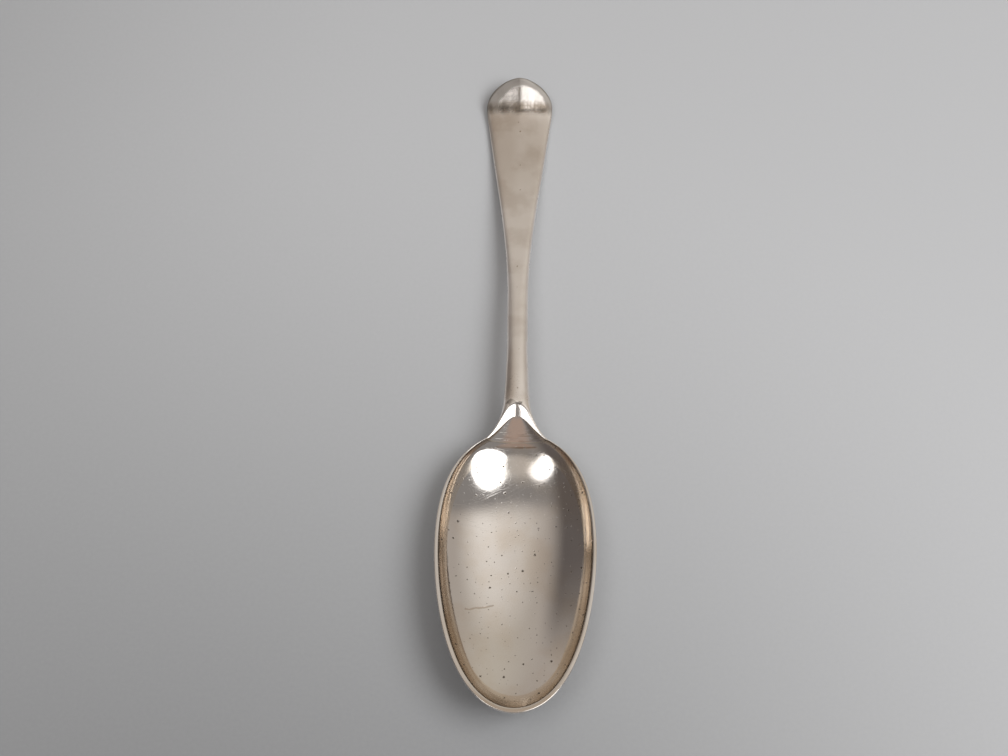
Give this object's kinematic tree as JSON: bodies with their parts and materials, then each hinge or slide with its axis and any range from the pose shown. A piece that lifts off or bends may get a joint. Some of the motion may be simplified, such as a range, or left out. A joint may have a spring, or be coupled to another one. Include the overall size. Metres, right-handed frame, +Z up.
{
  "type": "tablespoon",
  "caption": "Silver tablespoon with an egg-shaped bowl, a slender stem that flares into two shoulders, a short drop under the heel and a rounded, turned-up end.",
  "frame": {"origin": "on the table plane, under the middle of the spoon's length and width", "axes": "+X to the spoon's right, +Y along the spoon from the bowl to the handle's end, +Z up, out of the bowl's hollow"},
  "size_m": [0.044, 0.2, 0.0142],
  "materials": {
    "polished_silver": "polished by use, with a light grey tarnish and small pits",
    "worn_silver": "satin from fine wear scratches, brighter on the facets and the stem",
    "silver_solder": "thin darker line"
  },
  "bodies": {
    "root": {"bowl": "polished_silver", "handle": "worn_silver", "solder_seam": "silver_solder"}
  },
  "joints": []
}
